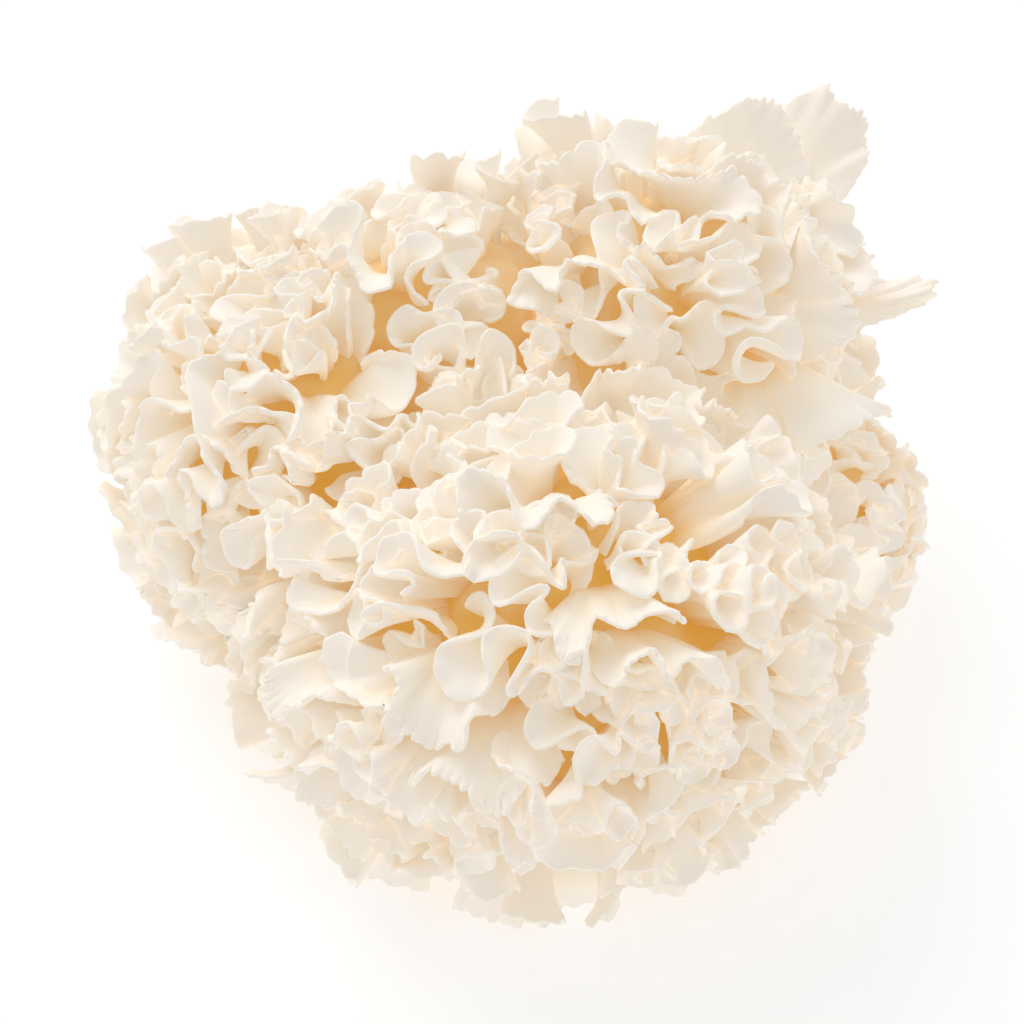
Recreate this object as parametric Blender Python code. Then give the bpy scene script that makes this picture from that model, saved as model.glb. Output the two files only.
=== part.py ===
"""A coral mushroom: one ruffled fruiting body of five grown-together heads on a cut base, as one closed solid.

The real mushroom grows at the free edge of thin sheets. That edge gets longer faster than it moves outwards, so it
buckles into folds, and it stays clear of its neighbours. The same is done here. Each sheet starts as a short arc on a
small inner dome and grows outwards in layers. In each layer its edge is longer and swings further from side to side,
and all the edges of a layer are then pushed apart. Each sheet of the solid runs straight from the first layer, deep in
the flesh of its head, to the last one.

Sizes are in millimetres, and add_mesh turns them into metres. +Z is up. The origin is under the middle of the
mushroom, in the plane of the flat cut that it rests on.
"""

import math
from collections import namedtuple

import bmesh
import bpy
import numpy as np

MM = 0.001

# A head is a dome that carries sheets: its middle, its half-sizes, the way its top faces and its count of sheets.
Head = namedtuple("Head", "middle size top sheets")
HEADS = {
    "front": Head((8, -19, 31), (51, 43, 41), (0.05, -0.30, 1.0), 20),
    "left": Head((-36, 19, 30), (33, 40, 34), (-0.55, -0.05, 1.0), 12),
    "back": Head((25, 38, 37), (37, 33, 36), (0.35, 0.35, 1.0), 11),
    "back_left": Head((-14, 37, 34), (31, 28, 33), (-0.2, 0.5, 1.0), 9),
    "right": Head((54, 13, 17), (17, 22, 17), (0.8, -0.1, 0.5), 5),
}
HEAD_NAMES = list(HEADS)
HEAD_MIDDLES = np.array([head.middle for head in HEADS.values()], float)
HEAD_SIZES = np.array([head.size for head in HEADS.values()], float)
OUTLINE_MIDDLE = (1.8, 5.1)  # of the whole mushroom, seen from above; it becomes the origin

# A lobe that shows in the outline or fills the saddle between two heads: its head, its tip, the way its
# margin runs, its margin's length and its folds.
Lobe = namedtuple("Lobe", "head tip along length waves")
LOBES = [
    Lobe("back", (5, 65, 61), (1, -0.3, 0), 18, 0.9),
    Lobe("back", (-4, 64, 58), (0.3, 1, 0), 11, 0.5),
    Lobe("back", (33, 60, 58), (1, -0.3, 0), 40, 1.8),
    Lobe("back", (55, 69, 57), (0.8, -0.7, 0), 24, 1.0),
    Lobe("back", (67, 41, 40), (0, 1, 0.3), 9, 0.4),
    Lobe("back", (61, 30, 28), (0.2, 1, 0), 30, 1.4),
    Lobe("back_left", (-5, 57, 58), (1, 0, 0), 30, 1.4),
    Lobe("back_left", (-27, 56, 53), (1, 0.2, 0), 26, 1.2),
    Lobe("left", (-46, 58, 45), (1, 0.3, 0), 36, 1.6),
    Lobe("left", (-62, 50, 41), (0.6, 1, 0), 36, 1.6),
    Lobe("left", (-67, 13, 24), (-0.2, 1, 0.2), 38, 1.6),
    Lobe("left", (-57, -9, 15), (0.7, -1, 0), 36, 1.6),
    Lobe("left", (-43, -16, 12), (1, -0.3, 0), 30, 1.4),
    Lobe("front", (-43, -11, 27), (0.2, 1, 0.3), 38, 1.6),
    Lobe("front", (-44, -27, 15), (0.5, -1, 0), 44, 1.4),
    Lobe("front", (-26, -49, 9), (1, -0.5, 0), 40, 1.6),
    Lobe("front", (5, -60, 7), (1, 0, 0), 34, 1.4),
    Lobe("front", (47, -40, 14), (1, 0.8, 0.2), 40, 1.6),
    Lobe("front", (59, -19, 22), (0.3, 1, 0.4), 40, 1.6),
    Lobe("right", (71, 19, 18), (0, 1, 0.2), 24, 1.2),
    Lobe("right", (67, -1, 14), (0.5, -1, 0), 22, 1.2),
    Lobe("front", (29, 14, 52), (1, 0.1, 0), 36, 1.6),
    Lobe("back", (-3, 50, 52), (0.6, 1, 0), 26, 1.2),
]
LOBE_SWING = math.radians(65)
LOBE_BEND = 0.3

SEED = 3
SEGMENTS = 10  # along a margin
LAYERS = 7  # grown from a sheet's start, inside the core, to its margin
START_SHARE = 0.42  # share of a head's size where its sheets start to grow
CORE_SHARE = 0.54  # share of a head's size that its core fills
THICKNESS = 1.5  # of a sheet

MARGIN_LENGTH = (42.0, 58.0)  # of a full-grown sheet on a head of the size below
USUAL_HEAD_SIZE = 40.0
START_LENGTH = 0.16  # share of the margin's length that a sheet starts with
LENGTH_POWER = 1.25  # above 1, a margin gets longer faster near its end of growth
SWING_POWER = 0.8
WAVES = (1.5, 2.1)  # folds in one margin
SWING = (math.radians(75), math.radians(105))  # how far a fold turns to each side
BEND = (0.2, 1.1)  # of a whole sheet, in radians to each side
RIPPLE = (0.55, 1.15)  # how much the swing differs along a margin
RIPPLE_KNOTS = 6
REACH = (0.92, 1.04)  # share of the head's size that a sheet reaches
LEAN = 4.0  # spread of how far a margin shifts to one side
TURN = 0.9  # how far a margin may turn off the ring round its head's top
WIDEST_ANGLE = math.radians(108)  # from a head's top to its lowest sheets

SPACING = 9.0  # between the margins of neighbouring sheets
START_SPACING = 0.45  # share of the spacing where the sheets start
SAME_FOLD = 1.6  # spacings along one margin that it may bring near to itself
KEEP_APART_PASSES = 8
PLACED_MOVES = 0.15  # share of a push that a placed lobe gives way to
CLEAR_OF_LOBE = math.cos(math.radians(15))  # nearer to a placed lobe no other sheet grows
HEAD_GAP = 2.4  # between the sheets of two heads
HEAD_STEP = 0.8  # that a point moves away from another head in one pass
LOWEST_MARGIN = 2.5  # above the plane of the cut
END_DROP, END_WIDTH = 0.20, 0.08  # how much lower a sheet's two ends are, and over what share of it

BASE_MIDDLE = (2.0, 8.0)
BASE_RADIUS = 24.0  # of the flat cut
BASE_FLARE = 1.1  # the base's top is this much wider than its cut
BASE_HEIGHT = 30.0
BASE_SIDES = 18
STALK_FOOT = np.array((2.0, 8.0, 14.0))  # inside the base
STALK_RADIUS = 10.0
STALK_OVERLAP = 1.15  # how much longer a stalk is than the way from its foot to the middle of its head

FLESH_COLOUR = (0.88, 0.76, 0.58, 1.0)
FLESH_ROUGHNESS = 0.55
SHARP_ANGLE = math.radians(40)
GOLDEN_ANGLE = math.pi * (3 - math.sqrt(5))

# A sheet: its head's number, the way out to its margin's middle, the way its margin runs, and how it folds.
Sheet = namedtuple("Sheet", "head out along length waves phase swing bend reach lean ripple placed")


def unit(vectors):
    return vectors / np.maximum(np.linalg.norm(vectors, axis=-1, keepdims=True), 1e-9)


def blended(knots, share):
    """Values that pass smoothly through the knots, for shares from 0 to 1."""
    place = share * (len(knots) - 1)
    first = np.clip(np.floor(place).astype(int), 0, len(knots) - 2)
    part = (1 - np.cos(math.pi * (place - first))) / 2
    return knots[first] * (1 - part) + knots[first + 1] * part


def dome_share(grown):
    """The size of the dome, as a share of its head, that a margin lies on when it is this much grown."""
    return START_SHARE + (1 - START_SHARE) * grown


def placed_sheet(lobe, rng):
    """The sheet whose margin has its middle at the lobe's tip."""
    head = HEADS[lobe.head]
    away = (np.array(lobe.tip, float) - head.middle) / head.size
    reach = np.linalg.norm(away)
    out = away / reach
    along = np.array(lobe.along, float)
    return Sheet(
        head=HEAD_NAMES.index(lobe.head),
        out=out,
        along=unit(along - out * (along @ out)),
        length=lobe.length,
        waves=lobe.waves,
        phase=rng.uniform(0, 2 * math.pi),
        swing=LOBE_SWING,
        bend=LOBE_BEND,
        reach=reach,
        lean=0.0,
        ripple=rng.uniform(*RIPPLE, RIPPLE_KNOTS),
        placed=True,
    )


def ways_out(head):
    """The top of a head, and directions spread evenly over its dome, as a sunflower spreads its seeds."""
    top = unit(np.array(head.top, float))
    side = unit(np.cross(top, (0, 1, 0)))
    order = np.arange(head.sheets)
    height = 1 - (order + 0.5) / head.sheets * (1 - math.cos(WIDEST_ANGLE))
    across = np.sqrt(1 - height**2)
    turn = GOLDEN_ANGLE * order
    round_top = np.cos(turn)[:, None] * side + np.sin(turn)[:, None] * np.cross(top, side)
    return top, height[:, None] * top + across[:, None] * round_top


def grown_sheet(number, top, out, scale, rng):
    """A sheet at a given place on its head, with seeded differences from its neighbours."""
    ring = unit(np.cross(out, top + rng.normal(0, 0.35, 3)))
    turn = rng.uniform(-TURN, TURN)
    return Sheet(
        head=number,
        out=out,
        along=math.cos(turn) * ring + math.sin(turn) * np.cross(out, ring),
        length=rng.uniform(*MARGIN_LENGTH) * scale,
        waves=rng.uniform(*WAVES),
        phase=rng.uniform(0, 2 * math.pi),
        swing=rng.uniform(*SWING),
        bend=rng.uniform(*BEND),
        reach=rng.uniform(*REACH),
        lean=rng.normal(0, LEAN),
        ripple=rng.uniform(*RIPPLE, RIPPLE_KNOTS),
        placed=False,
    )


def plan_sheets():
    """The placed lobes, and every other sheet that keeps clear of them."""
    rng = np.random.default_rng(SEED)
    plan = [placed_sheet(lobe, rng) for lobe in LOBES]
    for number, head in enumerate(HEADS.values()):
        top, ways = ways_out(head)
        scale = np.mean(head.size) / USUAL_HEAD_SIZE
        lobes = np.array([sheet.out for sheet in plan if sheet.placed and sheet.head == number])
        for out in ways:
            sheet = grown_sheet(number, top, out, scale, rng)
            if (lobes @ out).max() < CLEAR_OF_LOBE:
                plan.append(sheet)
    return plan


def fold_line(sheet, grown):
    """A sheet's margin when it is this much grown, as distances along and across its dome."""
    share = np.linspace(0, 1, SEGMENTS + 1)
    length = sheet.length * (START_LENGTH + (1 - START_LENGTH) * grown**LENGTH_POWER)
    swing = sheet.swing * grown**SWING_POWER * blended(sheet.ripple, share)
    turn = sheet.bend * (2 * share - 1) + swing * np.sin(sheet.phase + 2 * math.pi * sheet.waves * share)
    turn = (turn[1:] + turn[:-1]) / 2
    step = length / SEGMENTS
    along = np.concatenate([[0], np.cumsum(np.cos(turn)) * step])
    across = np.concatenate([[0], np.cumsum(np.sin(turn)) * step])
    return along - along.mean(), across - across.mean() + sheet.lean * grown**2


def on_dome(sheet, grown):
    """The margin laid on its head's dome, which is smaller the less the sheet is grown."""
    size = HEAD_SIZES[sheet.head]
    share = dome_share(grown)
    along, across = fold_line(sheet, grown)
    away = np.hypot(along, across) + 1e-9
    angle = away / (share * size.mean())
    sideways = along[:, None] * sheet.along + across[:, None] * np.cross(sheet.out, sheet.along)
    way = np.cos(angle)[:, None] * sheet.out + (np.sin(angle) / away)[:, None] * sideways
    return HEAD_MIDDLES[sheet.head] + share * size * way


def push_apart(points, heads, spacing):
    """How far each point of every margin moves away from the margins of its head that are too near it."""
    count = points.shape[1]
    flat = points.reshape(-1, 3)
    sheet = np.repeat(np.arange(len(points)), count)
    place = np.tile(np.arange(count), len(points))
    step = np.linalg.norm(np.diff(points, axis=1), axis=2).mean()
    apart = flat[:, None] - flat[None]
    gap = np.linalg.norm(apart, axis=2) + 1e-6
    same_fold = (sheet[:, None] == sheet) & (np.abs(place[:, None] - place) * step < SAME_FOLD * spacing)
    near = (gap < spacing) & ~same_fold & (heads[sheet][:, None] == heads[sheet])
    push = np.where(near, (spacing - gap) / gap / 2, 0)
    move = (push[:, :, None] * apart).sum(axis=1) / np.maximum(near.sum(axis=1), 1)[:, None]
    move = move.reshape(points.shape)
    for _ in range(2):  # a fold moves as a whole
        move[:, 1:-1] = (move[:, :-2] + 2 * move[:, 1:-1] + move[:, 2:]) / 4
    return move


def kept_in_place(points, heads):
    """The points moved out of the other heads, and up from the plane of the cut."""
    own = np.linalg.norm((points - HEAD_MIDDLES[heads][:, None]) / HEAD_SIZES[heads][:, None], axis=2)
    for number in range(len(HEADS)):
        away = points - HEAD_MIDDLES[number]
        other = np.linalg.norm(away / HEAD_SIZES[number], axis=2)
        inside = (heads[:, None] != number) & (other < own + HEAD_GAP / HEAD_SIZES[number].mean())
        points[inside] += HEAD_STEP * unit(away[inside])
    points[..., 2] = np.maximum(points[..., 2], LOWEST_MARGIN)
    return points


def grow(plan):
    """The layers of every sheet, as an array of sheets, layers, points along the margin, and xyz."""
    heads = np.array([sheet.head for sheet in plan])
    middle, size = HEAD_MIDDLES[heads][:, None], HEAD_SIZES[heads][:, None]
    freedom = np.array([PLACED_MOVES if sheet.placed else 1.0 for sheet in plan])[:, None, None]
    moved = 0.0
    layers = []
    for grown in np.linspace(0, 1, LAYERS):
        drawn = np.array([on_dome(sheet, grown) for sheet in plan])
        spacing = SPACING * (START_SPACING + (1 - START_SPACING) * grown)
        for _ in range(KEEP_APART_PASSES):
            points = middle + dome_share(grown) * size * unit((drawn + moved - middle) / size)
            points += freedom * push_apart(points, heads, spacing)
            points = kept_in_place(points, heads)
            moved = points - drawn
        layers.append(points)
    return np.stack(layers, axis=1)


def trimmed(plan, layers):
    """The sheets with their own reach, and with rounded ends."""
    share = np.linspace(0, 1, SEGMENTS + 1)
    grown = np.linspace(0, 1, LAYERS)[:, None]
    near_end = np.exp(-((share / END_WIDTH) ** 2)) + np.exp(-(((1 - share) / END_WIDTH) ** 2))
    for sheet, points in zip(plan, layers):
        own = START_SHARE + (sheet.reach * (1 - END_DROP * near_end) - START_SHARE) * grown
        middle = HEAD_MIDDLES[sheet.head]
        points[:] = middle + (points - middle) * (own / dome_share(grown))[..., None]
    layers[..., 2] = np.maximum(layers[..., 2], LOWEST_MARGIN)
    return layers


def sheet_solid(rows):
    """The points and triangles of a closed thin solid round one sheet, with both faces split alike."""
    row_count, count = rows.shape[:2]
    along, down = np.gradient(rows, axis=1), np.gradient(rows, axis=0)
    half = unit(np.cross(along, down)) * THICKNESS / 2
    points = np.concatenate([(rows + half).reshape(-1, 3), (rows - half).reshape(-1, 3)])
    behind = row_count * count
    index = np.arange(behind).reshape(row_count, count)
    a, b, c, d = index[:-1, :-1], index[:-1, 1:], index[1:, 1:], index[1:, :-1]
    front = np.stack([a, b, c, a, c, d], axis=-1).reshape(-1, 3)
    rim = np.concatenate([index[0], index[1:, -1], index[-1, -2::-1], index[-2:0:-1, 0]])
    after = np.roll(rim, -1)
    edge = np.stack([after, rim, rim + behind, after, rim + behind, after + behind], axis=-1)
    return points, np.concatenate([front, front[:, ::-1] + behind, edge.reshape(-1, 3)])


def ball():
    """The points and triangles of a faceted ball of radius 1."""
    work = bmesh.new()
    bmesh.ops.create_icosphere(work, subdivisions=2, radius=1)
    points = np.array([vertex.co for vertex in work.verts])
    faces = np.array([[vertex.index for vertex in face.verts] for face in work.faces])
    work.free()
    return points, faces


def core_solid(head):
    """The flesh inside a head, which its sheets stand out of."""
    points, faces = ball()
    return np.array(head.middle) + CORE_SHARE * np.array(head.size) * points, faces


def stalk_solid(head):
    """The flesh that joins a head to the base: a ball stretched from one to the other."""
    points, faces = ball()
    reach = np.array(head.middle) - STALK_FOOT
    half = np.linalg.norm(reach) / 2
    stretch = (points @ unit(reach))[:, None] * unit(reach) * (half * STALK_OVERLAP - STALK_RADIUS)
    return STALK_FOOT + reach / 2 + STALK_RADIUS * points + stretch, faces


def add_mesh(name, points, faces, collection):
    """A closed mesh object, its faces turned outwards, with its points moved from the drawing's frame."""
    mesh = bpy.data.meshes.new(name)
    mesh.from_pydata(((points - (*OUTLINE_MIDDLE, 0)) * MM).tolist(), [], faces.tolist())
    work = bmesh.new()
    work.from_mesh(mesh)
    bmesh.ops.recalc_face_normals(work, faces=work.faces)
    work.to_mesh(mesh)
    work.free()
    collection.objects.link(bpy.data.objects.new(name, mesh))


def add_base(collection):
    """The stump under the heads: a short trunk that widens upwards, with a flat cut under it."""
    mesh = bpy.data.meshes.new("fruiting_body")
    work = bmesh.new()
    bmesh.ops.create_cone(
        work,
        cap_ends=True,
        segments=BASE_SIDES,
        radius1=BASE_RADIUS * MM,
        radius2=BASE_RADIUS * BASE_FLARE * MM,
        depth=BASE_HEIGHT * MM,
    )
    middle = np.array((*BASE_MIDDLE, BASE_HEIGHT / 2)) - (*OUTLINE_MIDDLE, 0)
    bmesh.ops.translate(work, verts=work.verts, vec=middle * MM)
    work.to_mesh(mesh)
    work.free()
    body = bpy.data.objects.new("fruiting_body", mesh)
    collection.objects.link(body)
    return body


def join(body, grown):
    """Fuses everything in the collection into the body, and removes what went into it."""
    union = body.modifiers.new("grown_together", "BOOLEAN")
    union.operation, union.operand_type, union.solver = "UNION", "COLLECTION", "MANIFOLD"
    union.collection = grown
    fused = bpy.data.meshes.new_from_object(body.evaluated_get(bpy.context.evaluated_depsgraph_get()))
    body.modifiers.remove(union)
    body.data = fused
    for piece in list(grown.objects):
        bpy.data.objects.remove(piece)
    bpy.data.collections.remove(grown)


def skin_round(face):
    """Every face that this one is joined to."""
    skin, edge = {face}, [face]
    while edge:
        near = {other for side in edge.pop().edges for other in side.link_faces} - skin
        skin |= near
        edge.extend(near)
    return skin


def keep_outer_skin(body):
    """Fills the hollows that fusing sealed, and drops loose scraps."""
    work = bmesh.new()
    work.from_mesh(body.data)
    left, skins = set(work.faces), []
    while left:
        skins.append(skin_round(next(iter(left))))
        left -= skins[-1]
    outer = max(skins, key=len)
    bmesh.ops.delete(work, geom=[face for face in work.faces if face not in outer], context="FACES")
    work.to_mesh(body.data)
    work.free()


def add_flesh(body):
    """Cream flesh with a soft sheen."""
    flesh = bpy.data.materials.new("flesh")
    flesh.use_nodes = True
    shader = flesh.node_tree.nodes["Principled BSDF"]
    shader.inputs["Base Color"].default_value = FLESH_COLOUR
    shader.inputs["Roughness"].default_value = FLESH_ROUGHNESS
    shader.inputs["Metallic"].default_value = 0.0
    body.data.materials.clear()
    body.data.materials.append(flesh)
    body.data.shade_smooth()
    body.data.set_sharp_from_angle(angle=SHARP_ANGLE)


def main():
    for obj in list(bpy.data.objects):
        bpy.data.objects.remove(obj)
    scene = bpy.context.scene.collection
    plan = plan_sheets()
    layers = trimmed(plan, grow(plan))
    grown = bpy.data.collections.new("grown")
    scene.children.link(grown)
    for number, rows in enumerate(layers[:, [0, -1]]):
        add_mesh(f"sheet_{number}", *sheet_solid(rows), grown)
    for name, head in HEADS.items():
        add_mesh(f"core_{name}", *core_solid(head), grown)
        add_mesh(f"stalk_{name}", *stalk_solid(head), grown)
    body = add_base(scene)
    join(body, grown)
    keep_outer_skin(body)
    add_flesh(body)


main()
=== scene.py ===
"""A ruffled mushroom: thin cream sheets, folded and curled, on rounded heads and a cut base."""

import math
from collections import namedtuple

import bmesh
import bpy
import numpy as np
from bpy.props import FloatProperty, FloatVectorProperty, IntProperty, PointerProperty
from mathutils import Matrix, Vector, noise


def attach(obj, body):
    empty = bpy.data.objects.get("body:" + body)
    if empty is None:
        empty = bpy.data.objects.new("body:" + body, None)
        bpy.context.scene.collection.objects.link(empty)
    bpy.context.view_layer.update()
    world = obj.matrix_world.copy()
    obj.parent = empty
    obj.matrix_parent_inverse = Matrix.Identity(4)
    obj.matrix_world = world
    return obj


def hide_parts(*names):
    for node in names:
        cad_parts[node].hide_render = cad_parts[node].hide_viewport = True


bl_info = {
    "name": "Ruffled mushroom",
    "version": (1, 0, 0),
    "blender": (4, 5, 0),
    "location": "3D View > Sidebar > Mushroom",
    "description": "Grows a whole fresh mushroom of folded sheets around its packed frame",
    "category": "Add Mesh",
}

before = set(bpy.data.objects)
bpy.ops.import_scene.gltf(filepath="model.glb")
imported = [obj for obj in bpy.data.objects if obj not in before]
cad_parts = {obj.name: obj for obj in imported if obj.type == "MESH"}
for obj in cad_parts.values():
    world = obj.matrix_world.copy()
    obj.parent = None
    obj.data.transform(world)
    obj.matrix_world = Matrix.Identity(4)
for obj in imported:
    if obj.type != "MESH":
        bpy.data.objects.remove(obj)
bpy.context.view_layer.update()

NODE = "fruiting_body"
BODY = "root"
MM = 0.001

# The mushroom is drawn in millimetres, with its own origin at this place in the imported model.
DRAWN_ORIGIN = (-1.8, -5.1, 0.0)

# One rounded head: its middle and half sizes, the way it faces, the line that its sheets lean
# away from, the way that its folds get coarser, how many ordinary sheets it bears, how long
# their margins are, how much margin each fold takes, how far the margin swings from side to
# side in degrees, and how far sheets keep apart at the outside.
Head = namedtuple("Head", "name middle size top parting coarser sheets length fold swing gap")
HEADS = (
    Head("front", (8, -19, 31), (51, 43, 41), (0.05, -0.30, 1.0), (0.1, 0.4, 1), (-0.5, 0, 0),
         sheets=92, length=(34, 60), fold=(14, 22), swing=(72, 106), gap=5.4),
    Head("left", (-36, 19, 30), (33, 40, 34), (-0.55, -0.05, 1.0), (-0.2, 0.3, 1), (0.3, 0, 0),
         sheets=54, length=(34, 58), fold=(17, 28), swing=(62, 102), gap=5.7),
    Head("back", (25, 38, 37), (37, 33, 36), (0.35, 0.35, 1.0), (0.2, 0.2, 1), (0, 0.3, 0),
         sheets=36, length=(40, 66), fold=(23, 36), swing=(42, 80), gap=6.4),
    Head("back_left", (-14, 37, 34), (31, 28, 33), (-0.2, 0.5, 1.0), (0, 0.2, 1), (0, 0, 0),
         sheets=28, length=(32, 54), fold=(17, 27), swing=(60, 98), gap=5.8),
    Head("right", (54, 13, 17), (17, 22, 17), (0.8, -0.1, 0.5), (0, 0.2, 1), (0, 0, 0),
         sheets=14, length=(22, 34), fold=(14, 20), swing=(70, 100), gap=4.8),
)
HEAD_NAMES = [head.name for head in HEADS]

# Ruffled lobes of the outline: head, tip, way the margin runs, its length and its folds.
LOBE_SWING = 78
LOBES = (
    ("back", (5, 65, 61), (1, -0.3, 0), 22, 1.4),
    ("back", (33, 60, 58), (1, -0.3, 0), 50, 2.7),
    ("back", (61, 30, 28), (0.2, 1, 0), 38, 2.1),
    ("back_left", (-5, 57, 58), (1, 0, 0), 38, 2.1),
    ("back_left", (-27, 56, 53), (1, 0.2, 0), 32, 1.8),
    ("left", (-46, 58, 45), (1, 0.3, 0), 45, 2.4),
    ("left", (-62, 50, 41), (0.6, 1, 0), 45, 2.4),
    ("left", (-67, 13, 24), (-0.2, 1, 0.2), 48, 2.4),
    ("left", (-57, -9, 15), (0.7, -1, 0), 45, 2.4),
    ("left", (-43, -16, 12), (1, -0.3, 0), 38, 2.1),
    ("front", (-43, -11, 27), (0.2, 1, 0.3), 48, 2.4),
    ("front", (-44, -27, 15), (0.5, -1, 0), 55, 2.1),
    ("front", (-26, -49, 9), (1, -0.5, 0), 50, 2.4),
    ("front", (5, -60, 7), (1, 0, 0), 42, 2.1),
    ("front", (47, -40, 14), (1, 0.8, 0.2), 50, 2.4),
    ("front", (59, -19, 22), (0.3, 1, 0.4), 50, 2.4),
    ("right", (71, 19, 18), (0, 1, 0.2), 30, 1.8),
    ("right", (67, -1, 14), (0.5, -1, 0), 28, 1.8),
    ("front", (29, 14, 52), (1, 0.1, 0), 46, 2.4),
    ("back", (-3, 50, 52), (0.6, 1, 0), 34, 1.8),
    ("back", (8, 56, 50), (1, 0.2, 0), 30, 1.6),
    ("back", (0, 60, 38), (0.3, 0.3, 1), 34, 1.6),
    ("back_left", (1, 56, 42), (0.3, 0.4, 1), 30, 1.4),
    ("back_left", (-20, 58, 13), (1, 0.2, 0), 40, 2.2),
    ("back_left", (-2, 56, 11), (1, 0, 0), 36, 2.0),
    ("back", (18, 65, 13), (1, 0, 0), 42, 2.2),
    ("back", (36, 63, 14), (1, -0.4, 0), 38, 2.0),
)

# Broad smooth lobes that lie over the folds below them: head, middle of the margin, way the
# margin runs, its length and folds, how far it leans over and its swing.
PLATES = (
    ("front", (14, -39, 64), (1, 0, 0), 26, 1.0, -14, 25),
    ("front", (23, -46, 60), (1, 0.1, 0), 24, 1.0, -10, 25),
    ("front", (-29, -36, 42), (0.8, -0.5, 0), 24, 1.0, -12, 30),
    ("front", (-13, -46, 54), (0.9, -0.2, 0), 26, 1.0, -12, 30),
    ("front", (-5, -55, 46), (1, 0.1, 0), 26, 1.0, -12, 30),
    ("back", (51, 5, 44), (1, 0.2, 0), 34, 1.2, -16, 30),
    ("back", (10, 27, 58), (1, 0.3, 0), 30, 1.0, -16, 20),
    ("left", (-17, 0, 50), (1, 0.2, 0), 32, 1.0, -16, 20),
    ("left", (-49, 3, 46), (1, -0.2, 0), 28, 1.2, -12, 30),
    ("left", (-33, 6, 52), (1, 0, 0), 30, 1.2, -10, 40),
    ("left", (-58, 20, 42), (0.6, 0.8, 0), 30, 1.4, 8, 45),
    ("front", (-38, -40, 24), (0.6, -0.8, 0.2), 34, 1.4, -8, 40),
    ("front", (4, -22, 72), (1, 0.2, 0), 30, 1.2, -12, 30),
    ("back", (36, 44, 68), (1, -0.3, 0), 36, 1.2, -10, 40),
    ("back", (52, 30, 58), (0.6, -0.8, 0), 36, 1.2, 8, 40),
)

# Lobes that narrow to a tip: head, tip, way the margin runs, its length, how far the tip hooks
# along the margin, and how pointed it is.
TIP_FOLDS, TIP_SWING = 0.8, 25
TIPS = (
    ("back", (58, 71, 59), (0.8, -0.7, 0), 30, 0, 1.2),
    ("back", (44, 67, 61), (1, -0.2, 0), 36, 0, 0.8),
    ("back", (30, 62, 57), (1, -0.2, 0), 34, 0, 0.4),
    ("back", (12, 66, 60), (1, -0.3, 0), 26, 0, 0.8),
    ("back", (2, 66, 58), (1, 0.3, 0), 12, 1, 1.2),
    ("back", (74, 40, 43), (0, 1, 0.3), 14, 1, 1.3),
)

# The spiral of ways out of a head, and the angle from its top at which that ends.
GOLDEN_ANGLE = math.pi * (3 - math.sqrt(5))
SPIRAL_START = 0.7
SPIRAL_SIDE = (0.31, 0.83, -0.2)
WIDEST = math.radians(108)

# Where sheets start and where the core ends, as shares of a head's size. Then, in mm, how low a
# margin may come and how far a sheet stays out of the next head.
ROOT_SHARE = 0.4
CORE_SHARE = 0.62
LOWEST_MARGIN = 2.5
HEAD_GAP = 2.4
PUSH_OUT = 0.8

# Ordinary sheets stay this far round from placed ones, and out of the inside of other heads.
CLEAR_OF_PLACED = math.radians(8)
BURIED = 0.8

# How much ordinary sheets differ. Petal is how far they lean outwards, like a flower's.
RING_SPREAD = 0.35
RING_TURN = 1.5
BEND = (0.2, 1.1)
REACH = (0.84, 1.05)
LEAN_SPREAD = 3
DRIFT_SPREAD = 0.6
RIPPLE = (0.7, 1.15, 6)
PETAL = 6.0

# A placed sheet's bend and ripple, and how freely it and a tip move when sheets push.
PLACED_BEND = 0.35
PLACED_RIPPLE = (0.7, 0.9, 1.0, 1.0, 0.9, 0.7)
PLACED_FREEDOM = 0.15
TIP_FREEDOM = 0.06

# Bare spots are looked for at this many places on a head, this far out, this far above the ground
# and outside other heads. The shares tell when a spot is bare, and how much round it is filled.
SPOTS = 900
SPOT_OUT = 0.9
LOWEST_SPOT = 6
SPOT_BURIED = 0.85
BARE = 0.85
FILLED = 0.75
FILLING_LENGTH = (2.6, 4.2)
FILLING_REACH = (0.82, 0.97)
FILLING_SWING = (70, 105)

# Seeds of the draws that the seed in the settings doesn't change.
PLACED_SEED = 3
TRIMMING_SEED = 5
FILLING_SEED = 17
MARGIN_SEED = 21


def unit(vectors):
    """The vectors at length one."""
    return vectors / np.maximum(np.linalg.norm(vectors, axis=-1, keepdims=True), 1e-9)


def blended(knots, share):
    """Values that pass smoothly from each evenly spaced knot to the next."""
    place = share * (len(knots) - 1)
    first = np.clip(np.floor(place).astype(int), 0, len(knots) - 2)
    part = (1 - np.cos(math.pi * (place - first))) / 2
    return knots[first] * (1 - part) + knots[first + 1] * part


def smoothed(rows, passes):
    """Rows of points, each moved towards its neighbours along the margin."""
    for _ in range(passes):
        middle = (rows[..., :-2, :] + 2 * rows[..., 1:-1, :] + rows[..., 2:, :]) / 4
        rows = np.concatenate([rows[..., :1, :], middle, rows[..., -1:, :]], axis=-2)
    return rows


def resampled(rows, count):
    """Rows of points with another number of points along each margin, on the same curve."""
    last = rows.shape[-2] - 1
    place = np.linspace(0, last, count)
    i = np.clip(np.floor(place).astype(int), 0, last - 1)
    f = (place - i)[:, None]
    before, after = np.clip(i - 1, 0, last), np.clip(i + 2, 0, last)
    p0, p1, p2, p3 = (rows[..., k, :] for k in (before, i, i + 1, after))
    bend = (2 * p0 - 5 * p1 + 4 * p2 - p3) * f**2 + (3 * p1 - p0 - 3 * p2 + p3) * f**3
    return (2 * p1 + (p2 - p0) * f + bend) / 2


# Planning the sheets

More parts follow.
